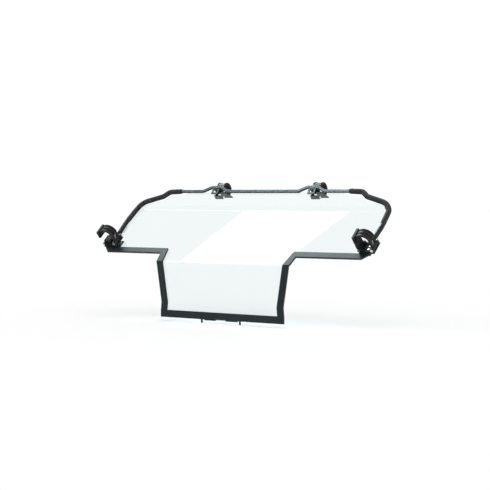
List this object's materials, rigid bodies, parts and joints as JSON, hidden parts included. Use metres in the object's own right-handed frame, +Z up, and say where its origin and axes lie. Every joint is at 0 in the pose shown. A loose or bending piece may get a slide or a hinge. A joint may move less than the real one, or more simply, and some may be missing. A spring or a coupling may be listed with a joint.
{
  "type": "windshield",
  "caption": "Folded T-shaped clear windshield in a black steel frame, with rubber-sleeved side tubes, swing hooks for cage pillars, hinged header clamps and locating pins.",
  "frame": {"origin": "on the centreline at the underside of the bottom rail, midway between the locating pins", "axes": "+X along the longest extent, to the vehicle's left; +Y to the rear of the vehicle; +Z up"},
  "size_m": [1.306, 0.4, 0.558],
  "materials": {
    "clear_sheet": "clear polycarbonate, polished",
    "seal_rubber": "matte black",
    "sleeve_foam": "matte, fine foam texture",
    "pad_rubber": "matte black",
    "zinc_steel": "zinc plated",
    "moulded_black": "moulded glass-filled nylon, satin",
    "frame_coat": "satin black powder coat"
  },
  "bodies": {
    "frame": {"clear_panel": "clear_sheet", "panel_seal": "seal_rubber", "bottom_rail": "frame_coat", "drop_rail_left": "frame_coat", "drop_rail_right": "frame_coat", "sill_left": "frame_coat", "sill_right": "frame_coat", "corner_upright_left": "frame_coat", "corner_upright_right": "frame_coat", "side_tube_left": "frame_coat", "side_tube_right": "frame_coat", "sleeve_left": "sleeve_foam", "sleeve_right": "sleeve_foam", "top_rail": "frame_coat", "latch_tab_left": "frame_coat", "latch_tab_right": "frame_coat", "locating_pins": "frame_coat", "foot_strip": "seal_rubber", "hook_base_left": "moulded_black", "hook_base_right": "moulded_black", "backing_plate_left": "moulded_black", "backing_plate_right": "moulded_black", "base_bolts": "zinc_steel", "hook_pin_left": "zinc_steel", "hook_pin_right": "zinc_steel", "keeper_pin_left": "zinc_steel", "keeper_pin_right": "zinc_steel", "top_clamp_left": "moulded_black", "top_clamp_right": "moulded_black", "top_pad_left": "pad_rubber", "top_pad_right": "pad_rubber", "jaw_pin_left": "zinc_steel", "jaw_pin_right": "zinc_steel"},
    "hook_left": {"swing_hook_left": "moulded_black", "hook_pad_left": "pad_rubber"},
    "hook_right": {"swing_hook_right": "moulded_black", "hook_pad_right": "pad_rubber"},
    "keeper_left": {"keeper_left": "moulded_black"},
    "keeper_right": {"keeper_right": "moulded_black"},
    "jaw_left": {"top_jaw_left": "moulded_black", "jaw_pad_left": "pad_rubber"},
    "jaw_right": {"top_jaw_right": "moulded_black", "jaw_pad_right": "pad_rubber"}
  },
  "joints": [
    {"name": "hook_left_swing", "type": "hinge", "parent": "frame", "child": "hook_left", "pos_m": [-0.584, 0.06734, 0.30406], "axis": [0, 0.7547, 0.6561], "range_deg": [0, 90]},
    {"name": "keeper_left_fold", "type": "hinge", "parent": "frame", "child": "keeper_left", "pos_m": [-0.64, 0.06931, 0.3018], "axis": [0, 0.7547, 0.6561], "range_deg": [-88, 0]},
    {"name": "hook_right_swing", "type": "hinge", "parent": "frame", "child": "hook_right", "pos_m": [0.649, 0.06734, 0.30406], "axis": [0, 0.7547, 0.6561], "range_deg": [0, 90]},
    {"name": "keeper_right_fold", "type": "hinge", "parent": "frame", "child": "keeper_right", "pos_m": [0.593, 0.06931, 0.3018], "axis": [0, 0.7547, 0.6561], "range_deg": [0, 88]},
    {"name": "jaw_left_open", "type": "hinge", "parent": "frame", "child": "jaw_left", "pos_m": [-0.237, 0.32624, 0.48139], "axis": [1, 0, 0], "range_deg": [-25, 0]},
    {"name": "jaw_right_open", "type": "hinge", "parent": "frame", "child": "jaw_right", "pos_m": [0.237, 0.32624, 0.48139], "axis": [1, 0, 0], "range_deg": [-25, 0]}
  ]
}
